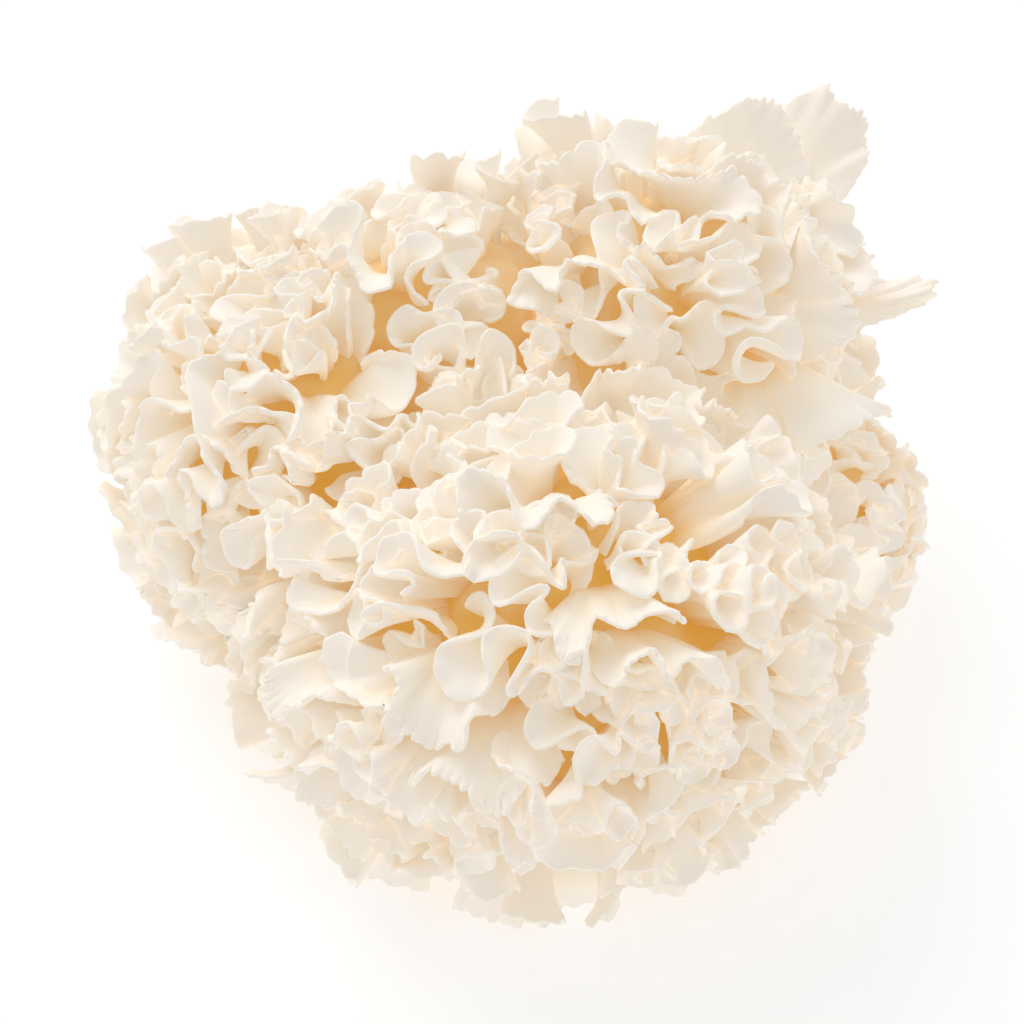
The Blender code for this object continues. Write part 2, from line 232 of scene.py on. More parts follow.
# One sheet: its head's number, the ways that it stands and its margin runs, the margin's length,
# folds, their phase, swing and bend, how far it reaches as a share of its head, how far it leans
# across and hooks along in mm, how pointed it is, how its folds drift and ripple, and how freely
# it moves.
Sheet = namedtuple(
    "Sheet",
    "head out along length folds phase swing bend reach lean hook taper drift ripple freedom",
)


def ways_out(head, count):
    """Evenly spread ways out of a head, spiralling down from the way it faces."""
    top = unit(np.array(head.top, float))
    side = unit(np.cross(top, SPIRAL_SIDE))
    order = np.arange(count)
    height = 1 - (order + 0.5) / count * (1 - math.cos(WIDEST))
    turn = GOLDEN_ANGLE * order + SPIRAL_START
    ring = np.cos(turn)[:, None] * side + np.sin(turn)[:, None] * np.cross(top, side)
    return height[:, None] * top + np.sqrt(1 - height**2)[:, None] * ring


def ordinary_sheet(rng, number, out, length, reach, swing):
    """A sheet with its own seeded folds, standing the given way out of its head."""
    head = HEADS[number]
    top = unit(np.array(head.top, float))
    ring = unit(np.cross(out, top + rng.normal(0, RING_SPREAD, 3)))
    turn = rng.uniform(-RING_TURN, RING_TURN)
    along = math.cos(turn) * ring + math.sin(turn) * np.cross(out, ring)
    parting = unit(np.array(head.parting, float))
    away = out * (out @ parting) - parting
    return Sheet(
        head=number,
        out=out,
        along=along,
        length=length,
        folds=length / rng.uniform(*head.fold) / (1 + np.array(head.coarser) @ out),
        phase=rng.uniform(0, 2 * math.pi),
        swing=math.radians(swing),
        bend=rng.uniform(*BEND),
        reach=reach,
        lean=rng.normal(0, LEAN_SPREAD) + PETAL * np.cross(out, along) @ away,
        hook=0.0,
        taper=0.0,
        drift=rng.normal(0, DRIFT_SPREAD),
        ripple=rng.uniform(*RIPPLE),
        freedom=1.0,
    )


def placed_sheet(rng, head_name, tip, along, length, folds, swing, lean=0.0, hook=0.0, taper=0.0):
    """A sheet whose margin has its middle at the tip."""
    number = HEAD_NAMES.index(head_name)
    head = HEADS[number]
    way = (np.array(tip, float) - head.middle) / head.size
    reach = np.linalg.norm(way)
    out = way / reach
    along = np.array(along, float)
    along = unit(along - out * (along @ out))
    if lean:
        out = unit(out - np.cross(out, along) * lean / np.mean(head.size))
        along = unit(along - out * (along @ out))
        reach = max(reach, 1.0)
    return Sheet(
        head=number,
        out=out,
        along=along,
        length=length,
        folds=folds,
        phase=rng.uniform(0, 2 * math.pi),
        swing=math.radians(swing),
        bend=PLACED_BEND,
        reach=reach,
        lean=lean,
        hook=hook,
        taper=taper,
        drift=0.0,
        ripple=np.array(PLACED_RIPPLE),
        freedom=TIP_FREEDOM if taper else PLACED_FREEDOM,
    )


def placed_sheets():
    """The lobes, plates and tips that are set out one by one."""
    rng = np.random.default_rng(PLACED_SEED)
    placed = [placed_sheet(rng, *lobe, swing=LOBE_SWING) for lobe in LOBES]
    for *line, lean, swing in PLATES:
        placed.append(placed_sheet(rng, *line, swing=swing, lean=lean))
    for *line, hook, taper in TIPS:
        placed.append(placed_sheet(rng, *line, TIP_FOLDS, TIP_SWING, hook=hook, taper=taper))
    return placed


def buried(points, number, share):
    """Which points lie inside another head than their own."""
    inside = np.zeros(len(points), bool)
    for other, head in enumerate(HEADS):
        if other != number:
            inside |= np.linalg.norm((points - head.middle) / head.size, axis=1) < share
    return inside


def planned_sheets(seed):
    """Every sheet of the first plan: ordinary ones, and placed ones that they leave room for."""
    rng = np.random.default_rng(seed)
    placed = placed_sheets()
    plan = []
    for number, head in enumerate(HEADS):
        taken = [sheet.out for sheet in placed if sheet.head == number]
        ways = ways_out(head, head.sheets)
        inside = buried(np.array(head.middle) + np.array(head.size) * ways, number, BURIED)
        for out, hidden in zip(ways, inside):
            length, reach = rng.uniform(*head.length), rng.uniform(*REACH)
            sheet = ordinary_sheet(rng, number, out, length, reach, rng.uniform(*head.swing))
            if not hidden and all(out @ other < math.cos(CLEAR_OF_PLACED) for other in taken):
                plan.append(sheet)
    return plan + placed


def bare_spots(rows, number):
    """Ways out of a head where no sheet's outer half comes near, and the room, barest first."""
    head = HEADS[number]
    ways = ways_out(head, SPOTS)
    spots = head.middle + SPOT_OUT * np.array(head.size) * ways
    outer = rows[:, rows.shape[1] // 2 :].reshape(-1, 3)
    gaps = np.sqrt(((spots[:, None] - outer[None]) ** 2).sum(-1).min(axis=1))
    gaps[(spots[:, 2] < LOWEST_SPOT) | buried(spots, number, SPOT_BURIED)] = 0
    found = []
    while gaps.max() > head.gap * BARE:
        pick = int(gaps.argmax())
        found.append((ways[pick], gaps[pick]))
        gaps = np.minimum(gaps, np.linalg.norm(spots - spots[pick], axis=1) * FILLED)
    return found


def filling_sheets(rows):
    """Small sheets that stand in the bare spots of a first, coarse growth."""
    rng = np.random.default_rng(FILLING_SEED)
    fillers = []
    for number, head in enumerate(HEADS):
        for out, gap in bare_spots(rows, number):
            length = rng.uniform(*FILLING_LENGTH) * gap
            reach, swing = rng.uniform(*FILLING_REACH), rng.uniform(*FILLING_SWING)
            fillers.append(ordinary_sheet(rng, number, out, length, reach, swing))
    return fillers


# Growing the sheets

# A margin's length at the root as a share of the whole, and the powers by which its length and
# its folds grow outwards. The folds of placed sheets come later.
ROOT_LENGTH = 0.16
LENGTHENING = 2.2
FOLDING = 1.4
PLACED_FOLDING = 2.6

# The gap at the root as a share of that at the margin, the stretch of one margin that doesn't
# push itself, in gaps, and how often the pushes are smoothed.
ROOT_GAP = 0.45
OWN_STRETCH = 1.6
PUSH_SMOOTHING = 4


def fold_line(sheet, grown, share):
    """The flat line of a margin at one stage of growth: along and across its sheet, in mm."""
    length = sheet.length * (ROOT_LENGTH + (1 - ROOT_LENGTH) * grown**LENGTHENING)
    folding = PLACED_FOLDING if sheet.freedom < 1 else FOLDING
    swing = sheet.swing * grown**folding * blended(sheet.ripple, share)
    place = sheet.phase + sheet.drift * grown + 2 * math.pi * sheet.folds * share
    turn = sheet.bend * (2 * share - 1) + swing * np.sin(place)
    turn = (turn[1:] + turn[:-1]) / 2
    step = length / (len(share) - 1)
    along = np.concatenate([[0], np.cumsum(np.cos(turn)) * step])
    across = np.concatenate([[0], np.cumsum(np.sin(turn)) * step])
    along = along - along.mean() + sheet.hook * grown**3
    return along, across - across.mean() + sheet.lean * grown**2


def on_dome(sheet, grown, share):
    """The margin of a sheet laid on its head's dome at one stage of growth."""
    head = HEADS[sheet.head]
    size = np.array(head.size, float)
    height = ROOT_SHARE + (1 - ROOT_SHARE) * grown
    along, across = fold_line(sheet, grown, share)
    away = np.hypot(along, across) + 1e-9
    angle = away / (height * size.mean())
    sideways = along[:, None] * sheet.along + across[:, None] * np.cross(sheet.out, sheet.along)
    way = np.cos(angle)[:, None] * sheet.out + (np.sin(angle) / away)[:, None] * sideways
    return np.array(head.middle) + height * size * way


def near_pairs(points, gap):
    """Pairs of points that are closer than the gap, found cell by cell."""
    cell = np.floor((points - points.min(axis=0)) / gap).astype(np.int64) + 1
    wide = cell.max(axis=0) + 2
    key = (cell[:, 0] * wide[1] + cell[:, 1]) * wide[2] + cell[:, 2]
    order = np.argsort(key, kind="stable")
    ordered = key[order]
    pairs = []
    for beside in range(-1, 2):
        for behind in range(-1, 2):
            target = key + (beside * wide[1] + behind) * wide[2]
            start = np.searchsorted(ordered, target - 1, "left")
            count = np.searchsorted(ordered, target + 1, "right") - start
            first = np.repeat(np.arange(len(points)), count)
            along = np.arange(count.sum()) - np.repeat(np.cumsum(count) - count, count)
            second = order[np.repeat(start, count) + along]
            close = ((points[first] - points[second]) ** 2).sum(axis=1) < gap**2
            pairs.append((first[close], second[close]))
    return (np.concatenate(side) for side in zip(*pairs))


def push_apart(points, gaps):
    """How each point has to move so that margins keep clear of each other."""
    count = points.shape[1]
    flat = points.reshape(-1, 3)
    sheet = np.repeat(np.arange(len(points)), count)
    place = np.tile(np.arange(count), len(points))
    step = np.linalg.norm(np.diff(points, axis=1), axis=2).mean(axis=1)
    i, j = near_pairs(flat, gaps.max())
    gap = (gaps[sheet[i]] + gaps[sheet[j]]) / 2
    apart = flat[i] - flat[j]
    distance = np.sqrt((apart**2).sum(axis=1)) + 1e-6
    stretch = np.abs(place[i] - place[j]) * step[sheet[i]]
    far = (sheet[i] != sheet[j]) | (stretch > OWN_STRETCH * gap)
    keep = far & (distance < gap)
    i, push = i[keep], (apart / distance[:, None] * (gap - distance)[:, None] / 2)[keep]
    total = np.stack([np.bincount(i, push[:, c], len(flat)) for c in range(3)], axis=1)
    near = np.maximum(np.bincount(i, minlength=len(flat)), 1)[:, None]
    return smoothed((total / near).reshape(points.shape), PUSH_SMOOTHING)


def kept_in_place(points, heads):
    """Points moved out of other heads and up off the ground."""
    middles = np.array([head.middle for head in HEADS], float)
    sizes = np.array([head.size for head in HEADS], float)
    own = np.linalg.norm((points - middles[heads][:, None]) / sizes[heads][:, None], axis=2)
    for number in range(len(HEADS)):
        away = points - middles[number]
        other = np.linalg.norm(away / sizes[number], axis=2)
        inside = (heads[:, None] != number) & (other < own + HEAD_GAP / sizes[number].mean())
        points[inside] += PUSH_OUT * unit(away[inside])
    points[..., 2] = np.maximum(points[..., 2], LOWEST_MARGIN)
    return points


def grown_rows(plan, points, layers, passes):
    """Every sheet's margin at each stage of growth: sheets x stages x points, in mm."""
    share = np.linspace(0, 1, points)
    heads = np.array([sheet.head for sheet in plan])
    middle = np.array([head.middle for head in HEADS], float)[heads][:, None]
    size = np.array([head.size for head in HEADS], float)[heads][:, None]
    gaps = np.array([head.gap for head in HEADS])[heads]
    freedom = np.array([sheet.freedom for sheet in plan])[:, None, None]
    moved = 0.0
    stages = []
    for grown in np.linspace(0, 1, layers):
        drawn = np.array([on_dome(sheet, grown, share) for sheet in plan])
        height = ROOT_SHARE + (1 - ROOT_SHARE) * grown
        for _ in range(passes):
            at = drawn + moved
            at = middle + height * size * unit((at - middle) / size)
            at = at + freedom * push_apart(at, gaps * (ROOT_GAP + (1 - ROOT_GAP) * grown))
            at = kept_in_place(at, heads)
            moved = at - drawn
        stages.append(at)
    return np.stack(stages, axis=1)


# Finishing the margins

# How much lower a sheet's ends are, over which share of the margin, the height and the number
# of knots of its broad and its narrow lobes, and the depth and power of a pointed sheet's sides.
END_DROP, END_SHARE = 0.2, 0.08
MARGIN_LOBES = ((0.035, 9), (0.024, 25))
POINT_DEPTH, POINT_POWER = 0.42, 1.4

# Lips curl where the margin bends this much to the mm, from this stage of growth on, and sink by
# this share of the curl.
CURL_BEND = 0.12
CURL_SMOOTHING = 6
CURL_START = 0.45
CURL_SINK = 0.3

# The small frill: where it starts and the power of its growth, its width in mm, how uneven its
# spacing and its strength are, and how many times its strength changes along a margin.
FRILL_START, FRILL_POWER = 0.78, 1.6
FRILL_WIDTH = 6.5
FRILL_SPACING = (0.7, 1.3)
FRILL_STRENGTH = (0.2, 1.2, 8)

# The teeth: where they start, their width in mm, how uneven their spacing and heights are, the
# power that rounds them, and how deep the notches between them are cut.
TEETH_START = 0.925
TOOTH_WIDTH = 1.8
TOOTH_SPACING = (0.6, 1.4)
TOOTH_HEIGHTS = (0.3, 1.0)
TOOTH_ROUNDING = 0.6
NOTCH = 0.4

# Steps round a margin's rounded edge, and how often the facing of a sheet is smoothed.
LIP_ANGLES = (math.pi / 3, 2 * math.pi / 3)
FACING_SMOOTHING = 2


def trimmed(plan, rows):
    """Each sheet cut to its own reach, with a gently lobed margin and lower ends."""
    rng = np.random.default_rng(TRIMMING_SEED)
    share = np.linspace(0, 1, rows.shape[2])
    grown = np.linspace(0, 1, rows.shape[1])[:, None]
    first, last = (np.exp(-((place / END_SHARE) ** 2)) for place in (share, 1 - share))
    ends = 1 - END_DROP * (first + last)
    for sheet, points in zip(plan, rows):
        middle = np.array(HEADS[sheet.head].middle, float)
        lobed = 1
        for height, knots in MARGIN_LOBES:
            lobed = lobed + height * blended(rng.normal(0, 1, knots), share)
        pointed = 1 - POINT_DEPTH * sheet.taper * abs(2 * share - 1) ** POINT_POWER
        own = sheet.reach * (pointed if sheet.taper else ends) * lobed
        reach = ROOT_SHARE + (own - ROOT_SHARE) * grown
        longer = reach / (ROOT_SHARE + (1 - ROOT_SHARE) * grown)
        points[:] = middle + (points - middle) * longer[..., None]
    rows[..., 2] = np.maximum(rows[..., 2], LOWEST_MARGIN)
    return rows


def since(grown, start):
    """How much of the growth from the start to the margin is done at each row, from 0 to 1."""
    return np.clip((grown - start) / (1 - start), 0, 1)[None, :, None, None]


def curled(plan, rows, grown, curl, frill, tooth):
    """Rows with lips that curl to the outside of each fold, a small frill, and teeth."""
    rng = np.random.default_rng(MARGIN_SEED)
    heads = [sheet.head for sheet in plan]
    middle = np.array([head.middle for head in HEADS], float)[heads][:, None]
    rim = rows[:, -1]
    run = unit(np.gradient(rim, axis=1))
    up = unit(rim - middle)
    side = unit(np.cross(up, run))
    pace = np.linalg.norm(np.gradient(rim, axis=1), axis=2, keepdims=True)
    bend = np.gradient(run, axis=1) / pace
    turn = -np.tanh((bend * side).sum(-1, keepdims=True) / CURL_BEND)
    turn = smoothed(turn, CURL_SMOOTHING)
    late = since(grown, CURL_START)
    sink = CURL_SINK * late**3 * np.abs(turn)[:, None] * up[:, None]
    rows = rows + curl * (late**2 * (turn * side)[:, None] - sink)
    step = np.linalg.norm(np.diff(rim, axis=1), axis=2).mean(axis=1)
    teeth = np.stack([saw_teeth(rng, rim.shape[1], width) for width in step])
    waves = np.stack([small_waves(rng, rim.shape[1], width) for width in step])
    late = since(grown, FRILL_START) ** FRILL_POWER
    rows = rows + frill * late * waves[:, None, :, None] * side[:, None]
    late = since(grown, TEETH_START)
    return rows + tooth * late * teeth[:, None, :, None] * up[:, None]


def small_waves(rng, count, step):
    """Heights of a small uneven frill along a margin whose points are this far apart."""
    place = np.cumsum(rng.uniform(*FRILL_SPACING, count) * step) / FRILL_WIDTH
    strength = blended(rng.uniform(*FRILL_STRENGTH), np.linspace(0, 1, count))
    return strength * np.sin(2 * math.pi * (place + rng.uniform()))


def saw_teeth(rng, count, step):
    """Heights of uneven small teeth along a margin whose points are this far apart."""
    place = np.cumsum(rng.uniform(*TOOTH_SPACING, count) * step) / TOOTH_WIDTH
    tooth = np.floor(place).astype(int)
    heights = rng.uniform(*TOOTH_HEIGHTS, tooth.max() + 1)[tooth]
    return heights * np.sin(math.pi * (place - tooth)) ** TOOTH_ROUNDING - NOTCH


def skin_round(rows, root_half, rim_half):
    """Closed skins round the sheets: front, rounded margin and back, with rounded ends."""
    along, down = np.gradient(rows, axis=2), np.gradient(rows, axis=1)
    facing = unit(smoothed(unit(np.cross(along, down)), FACING_SMOOTHING))
    half = np.linspace(root_half, rim_half, rows.shape[1])[None, :, None, None]
    out = unit(down[:, -1])
    lip = []
    for angle in LIP_ANGLES:
        way = math.cos(angle) * facing[:, -1] + math.sin(angle) * out
        lip.append(rows[:, -1] + rim_half * way)
    lip = np.stack(lip, axis=1)
    skin = np.concatenate([rows + facing * half, lip, (rows - facing * half)[:, ::-1]], axis=1)
    edges = []
    for end, sign in ((0, -1), (-1, 1)):
        beside = rows[:, :, end] + sign * unit(along[:, :, end]) * half[:, :, 0]
        corner = rows[:, -1, end] + rim_half * unit(out[:, end] + sign * unit(along[:, -1, end]))
        corner = np.repeat(corner[:, None], len(LIP_ANGLES), axis=1)
        edges.append(np.concatenate([beside, corner, beside[:, ::-1]], axis=1)[:, :, None])
    return np.concatenate([edges[0], skin, edges[1]], axis=2)


# Making meshes

def grid_mesh(name, grids, grown):
    """One mesh of closed grids, with how far grown each row of points is kept on it."""
    count, high, wide, _ = grids.shape
    k, row, column = np.meshgrid(range(count), range(high - 1), range(wide - 1), indexing="ij")
    first = (k * high + row) * wide + column
    faces = np.stack([first, first + 1, first + 1 + wide, first + wide], axis=-1).reshape(-1, 4)
    points = (grids.reshape(-1, 3) + DRAWN_ORIGIN) * MM
    mesh = bpy.data.meshes.new(name)
    mesh.vertices.add(len(points))
    mesh.vertices.foreach_set("co", points.ravel().astype(np.float32))
    mesh.loops.add(faces.size)
    mesh.loops.foreach_set("vertex_index", faces.ravel())
    mesh.polygons.add(len(faces))
    mesh.polygons.foreach_set("loop_start", np.arange(0, faces.size, 4))
    mesh.update(calc_edges=True)
    mesh.shade_smooth()
    keep_growth(mesh, np.tile(np.repeat(grown, wide), count))
    return mesh


def keep_growth(mesh, values):
    """Stores on each point how far grown the flesh is there, from root to margin."""
    layer = mesh.attributes.new("grown", "FLOAT", "POINT")
    layer.data.foreach_set("value", np.asarray(values, np.float32))


def add_piece(mesh, materials):
    """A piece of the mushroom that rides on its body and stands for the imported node."""
    for material in materials:
        mesh.materials.append(material)
    piece = bpy.data.objects.new(mesh.name, mesh)
    bpy.context.scene.collection.objects.link(piece)
    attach(piece, BODY)
    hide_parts(NODE)
    return piece


# Materials

def group_of(name, inputs, outputs):
    """An empty node group with the given sockets, its input node and its output node."""
    group = bpy.data.node_groups.new(name, "ShaderNodeTree")
    for label, kind, value in inputs:
        socket = group.interface.new_socket(label, in_out="INPUT", socket_type=kind)
        socket.default_value = value
    for label, kind in outputs:
        group.interface.new_socket(label, in_out="OUTPUT", socket_type=kind)
    return group, group.nodes.new("NodeGroupInput"), group.nodes.new("NodeGroupOutput")


def noise_node(tree, scale, detail, stretch=(1, 1, 1)):
    """Noise that is fixed to the mushroom, with so many grains to the metre."""
    place = tree.nodes.new("ShaderNodeTexCoord")
    mapping = tree.nodes.new("ShaderNodeMapping")
    mapping.inputs["Scale"].default_value = stretch
    texture = tree.nodes.new("ShaderNodeTexNoise")
    texture.inputs["Scale"].default_value = scale
    texture.inputs["Detail"].default_value = detail
    tree.links.new(place.outputs["Object"], mapping.inputs["Vector"])
    tree.links.new(mapping.outputs["Vector"], texture.inputs["Vector"])
    return texture


def math_node(tree, kind, first, second):
    """The result of a sum on two values, each a socket or a number."""
    node = tree.nodes.new("ShaderNodeMath")
    node.operation = kind
    for socket, value in zip(node.inputs, (first, second)):
        if isinstance(value, (int, float)):
            socket.default_value = value
        else:
            tree.links.new(value, socket)
    return node.outputs[0]


def range_node(tree, value, low, high, to_low=0.0, to_high=1.0):
    """A value brought smoothly from one range to another."""
    node = tree.nodes.new("ShaderNodeMapRange")
    node.interpolation_type = "SMOOTHSTEP"
    limits = {"From Min": low, "From Max": high, "To Min": to_low, "To Max": to_high}
    for label, number in limits.items():
        node.inputs[label].default_value = number
    tree.links.new(value, node.inputs["Value"])
    return node.outputs["Result"]


def mix_node(tree, share, first, second):
    """Two colours mixed by a share."""
    node = tree.nodes.new("ShaderNodeMix")
    node.data_type = "RGBA"
    tree.links.new(share, node.inputs["Factor"])
    tree.links.new(first, node.inputs["A"])
    tree.links.new(second, node.inputs["B"])
    return node.outputs["Result"]


# Patches of tone and fine wrinkles, in grains to the metre. Wrinkles run up and down.
PATCHES = 110
WRINKLES = 420
WRINKLE_STRETCH = (1, 1, 0.45)

# Stages of growth over which the tones change, from painted shade at the roots to pale margins,
# and the painted glow with them, and the distance back over which the flesh is painted paler, as
# painted light from the back.
SHADE_TO_FLESH_TONE = (0.25, 0.68)
MARGIN_TONE = (0.6, 0.93)
PAINTED_GLOW_TONE = (0.1, 0.7)
BACK_PAINTED_LIGHT = (-0.01, 0.06)

# Contrast of the patches, and the roughness that it is brought to.
PATCH_CONTRAST = (0.3, 0.7)
ROUGHNESS = (0.42, 0.56)

# Painted glow: light that the flesh gives off by itself, amber at the roots and cream at the
# margins, painted to lift and warm the shade in the folds.
DEEP_PAINTED_GLOW = (0.36, 0.20, 0.03, 1)
MARGIN_PAINTED_GLOW = (0.32, 0.27, 0.205, 1)
PAINTED_GLOW_STRENGTH = 0.46

# How light sinks into the flesh, in metres for red, green and blue, and how fine relief shows.
SINKING_SHARE = 0.2
SINKING_DEPTH = (0.0014, 0.0009, 0.0005)
REFRACTION = 1.38
RELIEF_STRENGTH = 0.35
RELIEF_HEIGHT = 0.0004


def flesh_tone_with_painted_light_group():
    """Colour and roughness of the flesh: amber painted shade at the roots, pale at the margins,
    painted lighter towards the back, with a painted glow.
    """
    colour, number = "NodeSocketColor", "NodeSocketFloat"
    group, given, result = group_of(
        "Flesh tone with painted light",
        [
            ("Growth", number, 1.0),
            ("Margin", colour, (1, 1, 1, 1)),
            ("Flesh", colour, (1, 1, 1, 1)),
            ("Deep", colour, (1, 1, 1, 1)),
            ("Mottling", number, 0.2),
            ("Painted back light", number, 0.5),
        ],
        [("Colour", colour), ("Roughness", number), ("Painted glow", colour)],
    )
    patches = noise_node(group, PATCHES, 1).outputs["Fac"]
    spread = math_node(group, "SUBTRACT", patches, 0.5)
    spread = math_node(group, "MULTIPLY", spread, given.outputs["Mottling"])
    growth = math_node(group, "ADD", given.outputs["Growth"], spread)
    shade_to_flesh_share = range_node(group, growth, *SHADE_TO_FLESH_TONE)
    margin_share = range_node(group, growth, *MARGIN_TONE)
    # Painted shade: the flesh turns amber towards the roots, where shade falls in the folds.
    tone = mix_node(group, shade_to_flesh_share, given.outputs["Deep"], given.outputs["Flesh"])
    tone = mix_node(group, margin_share, tone, given.outputs["Margin"])
    # Painted light: the flesh is mixed towards the pale margin colour towards the back, where the
    # light falls.
    place = group.nodes.new("ShaderNodeTexCoord")
    axes = group.nodes.new("ShaderNodeSeparateXYZ")
    group.links.new(place.outputs["Object"], axes.inputs["Vector"])
    far = range_node(group, axes.outputs["Y"], *BACK_PAINTED_LIGHT)
    far = math_node(group, "MULTIPLY", far, given.outputs["Painted back light"])
    tone = mix_node(group, far, tone, given.outputs["Margin"])
    # Painted glow: amber at the roots, cream at the margins, mixed by growth.
    painted_glows = []
    for painted_glow_colour in (DEEP_PAINTED_GLOW, MARGIN_PAINTED_GLOW):
        node = group.nodes.new("ShaderNodeRGB")
        node.outputs[0].default_value = painted_glow_colour
        painted_glows.append(node.outputs[0])
    glow = mix_node(group, range_node(group, growth, *PAINTED_GLOW_TONE), *painted_glows)
    group.links.new(glow, result.inputs["Painted glow"])
    group.links.new(tone, result.inputs["Colour"])
    roughness = range_node(group, patches, *PATCH_CONTRAST, *ROUGHNESS)
    group.links.new(roughness, result.inputs["Roughness"])
    return group


def fine_wrinkles_group():
    """Height of the flesh's faint wrinkles."""
    number = "NodeSocketFloat"
    strength, height = ("Strength", number, 1.0), ("Height", number)
    group, given, result = group_of("Fine wrinkles", [strength], [height])
    wrinkles = noise_node(group, WRINKLES, 1, WRINKLE_STRETCH).outputs["Fac"]
    height = math_node(group, "MULTIPLY", wrinkles, given.outputs["Strength"])
    group.links.new(height, result.inputs["Height"])
    return group


def placed_group(tree, name, make):
    """A node group set in a material, and made the first time that it is asked for."""
    node = tree.nodes.new("ShaderNodeGroup")
    node.node_tree = bpy.data.node_groups.get(name) or make()
    node.label = name
    return node


def flesh_material(name, colours, mottling, wrinkles, growth):
    """Satin flesh that light sinks into, with the painted shade, painted light and painted glow
    of its tone. Without a fixed growth it reads what its mesh keeps.
    """
    material = bpy.data.materials.new(name)
    material.use_nodes = True
    material.cycles.emission_sampling = "NONE"
    tree = material.node_tree
    shader = tree.nodes["Principled BSDF"]
    shader.subsurface_method = "BURLEY"
    shader.inputs["Subsurface Weight"].default_value = SINKING_SHARE
    shader.inputs["Subsurface Radius"].default_value = SINKING_DEPTH
    shader.inputs["Subsurface Scale"].default_value = 1.0
    shader.inputs["IOR"].default_value = REFRACTION
    # Strength of the painted glow.
    shader.inputs["Emission Strength"].default_value = PAINTED_GLOW_STRENGTH
    tone = placed_group(tree, "Flesh tone with painted light", flesh_tone_with_painted_light_group)
    tone.inputs["Margin"].default_value = (*colours.margin, 1)
    tone.inputs["Flesh"].default_value = (*colours.flesh, 1)
    tone.inputs["Deep"].default_value = (*colours.deep_shade, 1)
    tone.inputs["Mottling"].default_value = mottling
    if growth is None:
        kept = tree.nodes.new("ShaderNodeAttribute")
        kept.attribute_name = "grown"
        tree.links.new(kept.outputs["Fac"], tone.inputs["Growth"])
    else:
        tone.inputs["Growth"].default_value = growth
    relief = placed_group(tree, "Fine wrinkles", fine_wrinkles_group)
    relief.inputs["Strength"].default_value = wrinkles
    bump = tree.nodes.new("ShaderNodeBump")
    bump.inputs["Strength"].default_value = RELIEF_STRENGTH
    bump.inputs["Distance"].default_value = RELIEF_HEIGHT
    tree.links.new(relief.outputs["Height"], bump.inputs["Height"])
    tree.links.new(tone.outputs["Colour"], shader.inputs["Base Color"])
    tree.links.new(tone.outputs["Roughness"], shader.inputs["Roughness"])
    tree.links.new(tone.outputs["Painted glow"], shader.inputs["Emission Color"])
    tree.links.new(bump.outputs["Normal"], shader.inputs["Normal"])
    return material


# Mottling, wrinkles and fixed growth of the flesh of sheets and cores, and of the flat cut.
FLESH_KINDS = {"sheet_flesh": (0.22, 1.0, None), "cut_flesh": (0.6, 2.5, 0.55)}


def flesh_of(name):
    """The material of that name, made the first time that it is asked for."""
    colours = bpy.context.scene.mushroom_flesh
    return bpy.data.materials.get(name) or flesh_material(name, colours, *FLESH_KINDS[name])


# Settings

class MushroomSheets(bpy.types.PropertyGroup):
    """Sizes of the folded sheets."""

    seed: IntProperty(
        name="Seed", default=11, min=0,
        description="Which of the possible mushrooms grows",
    )
    rim_thickness: FloatProperty(
        name="Margin thickness", default=0.00065, min=0.0004, unit="LENGTH",
        description="How thick each sheet is at its margin",
    )
    root_thickness: FloatProperty(
        name="Root thickness", default=0.0014, min=0.0006, unit="LENGTH",
        description="How thick each sheet is where it leaves the core",
    )
    curl: FloatProperty(
        name="Lip curl", default=0.0046, min=0.0, unit="LENGTH",
        description="How far the lip of a fold curls outwards",
    )
    tooth: FloatProperty(
        name="Teeth", default=0.0017, min=0.0, unit="LENGTH",
        description="How far the fine teeth of a margin stand out",
    )
    frill: FloatProperty(
        name="Frill", default=0.0007, min=0.0, unit="LENGTH",
        description="How far the small waves of a margin stand out to each side",
    )


class MushroomFlesh(bpy.types.PropertyGroup):
    """Colours of the flesh; the colour at its roots is painted shade."""

    margin: FloatVectorProperty(
        name="Margins", default=(0.945, 0.916, 0.86), min=0.0, max=1.0, subtype="COLOR",
        description="Colour of the thin outer margins",
    )
    flesh: FloatVectorProperty(
        name="Flesh", default=(0.945, 0.866, 0.725), min=0.0, max=1.0, subtype="COLOR",
        description="Colour half way down a sheet",
    )
    # The amber at the roots and inside the openings is painted shade of the folds.
    deep_shade: FloatVectorProperty(
        name="Deep flesh", default=(0.84, 0.49, 0.09), min=0.0, max=1.0, subtype="COLOR",
        description="Colour at the roots and inside the openings",
    )


class MushroomStage(bpy.types.PropertyGroup):
    """Floor, light and camera."""

    floor: FloatVectorProperty(
        name="Floor", default=(0.6, 0.6, 0.6), min=0.0, max=1.0, subtype="COLOR",
        description="Colour of the plain floor",
    )
    floor_glow: FloatProperty(
        name="Floor glow", default=0.53, min=0.0,
        description="Light that the floor gives off by itself",
    )
    sky: FloatProperty(
        name="Soft light", default=0.66, min=0.0,
        description="Strength of the even light all round",
    )
    key: FloatProperty(
        name="Key light", default=0.68, min=0.0,
        description="Strength of the soft light from the upper left",
    )
    lens: FloatProperty(
        name="Lens", default=85.0, min=10.0,
        description="Focal length of the camera in mm",
    )
    distance: FloatProperty(
        name="Distance", default=0.391, min=0.1, unit="LENGTH",
        description="From the camera to the mushroom",
    )
    elevation: FloatProperty(
        name="Elevation", default=math.radians(55), subtype="ANGLE",
        description="How far above the horizon the camera stands",
    )


# Operators

# Points along a margin, layers of growth and passes of pushing in each: of the first growth,
# which only shows where the bare spots are, and of the real one.
FIRST_GROWTH = (25, 8, 2)
POINTS, LAYERS, PASSES = 49, 16, 3

